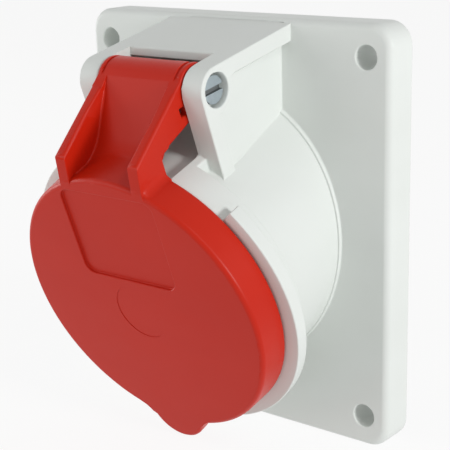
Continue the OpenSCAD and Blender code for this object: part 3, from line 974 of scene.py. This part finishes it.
            # The grid's lines are closest at the run's sides, where it turns up the ribs.
            share = 0.5 + 0.5 * math.sin(math.pi / 2.0 * max(-1.0, min(1.0, vert.co.x)))
            x = wide[0] + (wide[1] - wide[0]) * share
            w = deep[0] + (deep[1] - deep[0]) * (0.5 + 0.5 * vert.co.y)
            vert.co = (x, height(x, w), w)
        under = bmesh.ops.extrude_face_region(shape, geom=shape.faces[:], use_keep_orig=True)["geom"]
        below = [part for part in under if isinstance(part, bmesh.types.BMVert)]
        bmesh.ops.translate(shape, verts=below, vec=(0.0, -self.skin, 0.0))
        bmesh.ops.transform(shape, matrix=SOCKET.matrix(), verts=shape.verts[:])
        bmesh.ops.recalc_face_normals(shape, faces=shape.faces[:])
        for face in shape.faces:
            face.smooth = True
        for edge in shape.edges:
            edge.smooth = edge.calc_face_angle(0.0) < math.radians(self.run_crease_deg)
        piece = shown(name, shape)
        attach(piece, self.body.value)
        return piece


@dataclass
class Hinge(SubAssembly):
    """The slotted pin in the ears, and the spring wound on it from the body to the lid's rib.

    The spring's places are heights u and depths w in the socket's frame.
    """

    pin_edge_r: Radii = (0.15,)
    spring_name: str = "lid_spring_wire"
    axis: Pair = (45.3, -16.1)
    wire_r: float = 0.5
    coil_r: float = 2.65
    coil_turns: int = 5
    coil_pitch: float = 1.15
    leg_end: Pair = (32.35, -33.5)
    hook: Pair = (42.2, -10.8)
    hook_bend_r: float = 1.0
    hook_tip_x: float = 10.8
    wire_end_r: float = 0.15
    wire_end_segments: int = 3
    wire_sides: int = 20
    steps_a_turn: int = 48

    def parts(self) -> list[Part]:
        """The pin."""
        return [Part("hinge_pin", "hinge_pin_turned", self.pin_edge_r, PIN_STEEL)]

    def build(self) -> None:
        """Makes the pin and the spring."""
        super().build()
        self.pieces[self.spring_name] = self.spring()

    def dress(self) -> None:
        """Gives the pin and the spring their finishes."""
        super().dress()
        SPRING_STEEL.cover(self.pieces[self.spring_name])

    def touch(self, place: Vector, side: float) -> tuple[Vector, float]:
        """Where the straight wire from a place meets the coil.

        Args:
            place: Where the straight wire ends, in the coil's plane.
            side: 1 or -1, for the side of the hinge on which it passes.

        Returns:
            The meeting place, and its angle about the hinge from up to forward.
        """
        middle = Vector((place.x, *self.axis))
        away = place - middle
        angle = math.atan2(away.z, away.y) + side * math.acos(self.coil_r / away.length)
        return middle + self.coil_r * Vector((0.0, math.cos(angle), math.sin(angle))), angle

    def drawn(self, wire: bmesh.types.BMesh, ring: list[Any], run: Vector) -> list[Any]:
        """Draws the wire on in a straight line.

        Args:
            wire: The wire so far.
            ring: The edges of its open end.
            run: How far it goes on.

        Returns:
            The edges of its new open end.
        """
        made = bmesh.ops.extrude_edge_only(wire, edges=ring)["geom"]
        ahead = [v for v in made if isinstance(v, bmesh.types.BMVert)]
        bmesh.ops.translate(wire, verts=ahead, vec=run)
        return [e for e in made if isinstance(e, bmesh.types.BMEdge) and e.is_boundary]

    def wound(
        self,
        wire: bmesh.types.BMesh,
        ring: list[Any],
        middle: Vector,
        axis: Vector,
        turn: float,
        rise: float,
    ) -> list[Any]:
        """Winds the wire on round an axis.

        Args:
            wire: The wire so far.
            ring: The edges of its open end.
            middle: A place on the axis.
            axis: The axis's direction.
            turn: How far it winds, in radians.
            rise: How far it moves across the part on the way.

        Returns:
            The edges of its new open end.
        """
        steps = math.ceil(self.steps_a_turn * turn / math.tau)
        made = bmesh.ops.spin(
            wire,
            geom=ring,
            cent=middle,
            axis=axis,
            angle=turn,
            steps=steps,
            dvec=(rise / steps, 0.0, 0.0),
        )
        return [e for e in made["geom_last"] if isinstance(e, bmesh.types.BMEdge)]

    def spring(self) -> bpy.types.Object:
        """Makes the spring, from its leg on the body through the coil to its hook in the lid.

        Returns:
            The spring, as wound in its place at rest.
        """
        across = Vector((1.0, 0.0, 0.0))
        half = self.coil_turns * self.coil_pitch / 2.0
        leg_end, hook = Vector((-half, *self.leg_end)), Vector((half, *self.hook))
        leg_touch, leg_angle = self.touch(leg_end, -1.0)
        hook_touch, hook_angle = self.touch(hook, 1.0)
        sweep = math.tau * self.coil_turns + (leg_angle - hook_angle)
        leg = leg_touch - leg_end
        onward = (hook - hook_touch).normalized()
        bend_start = hook - onward * self.hook_bend_r

        wire = bmesh.new()
        section = Matrix.Translation(leg_end) @ leg.to_track_quat("Z", "X").to_matrix().to_4x4()
        bmesh.ops.create_circle(wire, segments=self.wire_sides, radius=self.wire_r, matrix=section)
        ring = self.drawn(wire, wire.edges[:], leg)
        ring = self.wound(wire, ring, Vector((-half, *self.axis)), -across, sweep, 2.0 * half)
        ring = self.drawn(wire, ring, bend_start - hook_touch)
        bend_middle = bend_start + across * self.hook_bend_r
        ring = self.wound(wire, ring, bend_middle, onward.cross(across), math.pi / 2.0, 0.0)
        tip = hook + across * self.hook_bend_r
        self.drawn(wire, ring, across * (self.hook_tip_x - tip.x))
        ends = [e for e in wire.edges if e.is_boundary]
        bmesh.ops.edgeloop_fill(wire, edges=ends)
        bmesh.ops.bevel(
            wire,
            geom=ends,
            offset=self.wire_end_r,
            segments=self.wire_end_segments,
            profile=ROUND_PROFILE,
            affect="EDGES",
            material=-1,
        )
        bmesh.ops.transform(wire, matrix=SOCKET.matrix(), verts=wire.verts[:])
        bmesh.ops.recalc_face_normals(wire, faces=wire.faces[:])
        for face in wire.faces:
            face.smooth = len(face.verts) == 4
        piece = shown(self.spring_name, wire)
        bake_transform(piece)
        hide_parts("lid_spring")
        return piece


@dataclass
class ContactSet(SubAssembly):
    """The carrier with its sleeves, spring rings and retainer, and the screws behind them."""

    carrier_r: Radii = (0.3, 0.15)
    retainer_r: Radii = (0.25,)
    screw_r: Radii = (0.12,)
    sleeve_r: Radii = (0.1,)
    ring_r: Radii = (0.1,)

    def parts(self) -> list[Part]:
        """The carrier, the retainer, the screws and each pole's sleeve and ring."""
        fixed = [
            Part("contact_carrier", "contact_island", self.carrier_r, CARRIER_GREY),
            Part("contact_retainer", "retainer_plate", self.retainer_r, CARRIER_GREY),
            Part("retainer_screw", "retainer_screw_slotted", self.screw_r, PLATED_STEEL),
            Part("terminal_screws", "terminal_screws_slotted", self.screw_r, PLATED_STEEL),
        ]
        sleeves = [
            Part(f"contact_{pole.value}", f"sleeve_{pole.value}", self.sleeve_r, CONTACT_BRASS)
            for pole in Pole
        ]
        rings = [
            Part(f"spring_ring_{pole.value}", f"sleeve_ring_{pole.value}", self.ring_r, SPRING_STEEL)
            for pole in Pole
        ]
        return fixed + sleeves + rings


# Studio


@dataclass(frozen=True)
class Lamp:
    """A square soft lamp: where it stands, how wide it is and its power."""

    name: str
    place_mm: Place
    size_m: float
    watts: float


@dataclass
class Studio:
    """Camera, soft lamps, white backdrop and a pale floor that keeps the shadow."""

    lens_mm: float = 98.12
    sensor_mm: float = 36.0
    clip_m: Pair = (0.01, 20.0)
    azimuth: float = 39.03
    elevation: float = 15.35
    roll: float = -1.42
    position_mm: Place = (182.9, -237.6, 79.0)
    aim_mm: Place = (0.0, -20.0, 0.0)
    floor_z_mm: float = -50.2
    floor_half_m: float = 6.0
    floor_paper: Colour = (0.86, 0.86, 0.85)
    floor_glow: float = 0.90
    floor_light: float = 0.75
    fill: float = 0.36
    lamps: tuple[Lamp, ...] = (
        Lamp("right", (700.0, -75.0, 185.0), 0.12, 2.35),
        Lamp("upper_right", (585.0, -245.0, 630.0), 0.15, 0.7),
        Lamp("left", (-700.0, -220.0, 100.0), 0.3, 1.5),
        Lamp("front_left", (-330.0, -640.0, 150.0), 0.3, 0.7),
    )

    def build(self) -> None:
        """Sets up the camera, lamps, backdrop and floor."""
        bpy.context.scene.view_settings.view_transform = "Standard"
        self.camera()
        self.backdrop()
        self.floor()
        for lamp in self.lamps:
            self.lamp(lamp)

    def camera(self) -> None:
        """Makes the camera at the photograph's angle."""
        azimuth, elevation = math.radians(self.azimuth), math.radians(self.elevation)
        roll = math.radians(self.roll)
        level = Vector((math.cos(azimuth), math.sin(azimuth), 0.0))
        back = Vector((math.sin(azimuth), -math.cos(azimuth), math.tan(elevation))).normalized()
        upright = back.cross(level)
        right = level * math.cos(roll) + upright * math.sin(roll)
        up = upright * math.cos(roll) - level * math.sin(roll)
        data = bpy.data.cameras.new("camera")
        data.lens = self.lens_mm
        data.sensor_width = self.sensor_mm
        data.clip_start, data.clip_end = self.clip_m
        camera = bpy.data.objects.new("camera", data)
        turn = Matrix((right, up, back)).transposed().to_4x4()
        camera.matrix_world = Matrix.Translation(Vector(self.position_mm) * MM) @ turn
        bpy.context.scene.collection.objects.link(camera)
        bpy.context.scene.camera = camera

    def lamp(self, lamp: Lamp) -> None:
        """Hangs a lamp, aimed at the part."""
        data = bpy.data.lights.new(lamp.name, "AREA")
        data.shape = "SQUARE"
        data.size = lamp.size_m
        data.energy = lamp.watts
        light = bpy.data.objects.new(lamp.name, data)
        place, aim = Vector(lamp.place_mm) * MM, Vector(self.aim_mm) * MM
        turn = (aim - place).to_track_quat("-Z", "Y").to_matrix().to_4x4()
        light.matrix_world = Matrix.Translation(place) @ turn
        bpy.context.scene.collection.objects.link(light)

    def seen(self, tree: ShaderTree) -> Value:
        """1 for what the camera sees, straight, reflected or through glass, and 0 for other light."""
        straight = tree.node("ShaderNodeLightPath", {}, "Is Camera Ray")
        reflected = tree.node("ShaderNodeLightPath", {}, "Is Glossy Ray")
        through = tree.node("ShaderNodeLightPath", {}, "Is Transmission Ray")
        return straight + reflected + through

    def backdrop(self) -> None:
        """Makes the world white to the eye and a plain fill to the object."""
        world = bpy.data.worlds.new("studio")
        bpy.context.scene.world = world
        tree = ShaderTree(world)
        strength = self.fill + self.seen(tree) * (1.0 - self.fill)
        light = tree.node("ShaderNodeBackground", {"Color": (*WHITE, 1.0), "Strength": strength})
        tree.end("ShaderNodeOutputWorld", light)

    def floor(self) -> None:
        """Lays the pale floor, nearly white to the eye but for the object's shadow."""
        shape = bmesh.new()
        bmesh.ops.create_grid(shape, x_segments=1, y_segments=1, size=self.floor_half_m)
        bmesh.ops.translate(shape, verts=shape.verts[:], vec=(0.0, 0.0, self.floor_z_mm * MM))
        floor = shown("floor", shape)
        material = bpy.data.materials.new("pale_floor")
        tree = ShaderTree(material)
        paper = tree.node("ShaderNodeBsdfDiffuse", {"Color": (*self.floor_paper, 1.0)})
        shade = tree.mixed(self.seen(tree), (self.floor_light,) * 3, WHITE)
        glow = tree.node("ShaderNodeEmission", {"Color": shade})
        shader = tree.node("ShaderNodeMixShader", {0: self.floor_glow, 1: paper, 2: glow})
        tree.end("ShaderNodeOutputMaterial", shader)
        floor.data.materials.append(material)


def main() -> None:
    """Builds the studio and the sub-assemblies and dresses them."""
    logging.basicConfig(level=logging.INFO, format="%(name)s: %(message)s")
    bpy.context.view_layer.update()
    Studio().build()
    for assembly in (Housing(), Lid(), Hinge(), ContactSet()):
        assembly.build()
        assembly.dress()
        LOG.info("%s dressed: %s", type(assembly).__name__, ", ".join(assembly.pieces))


if __name__ == "__main__":
    main()
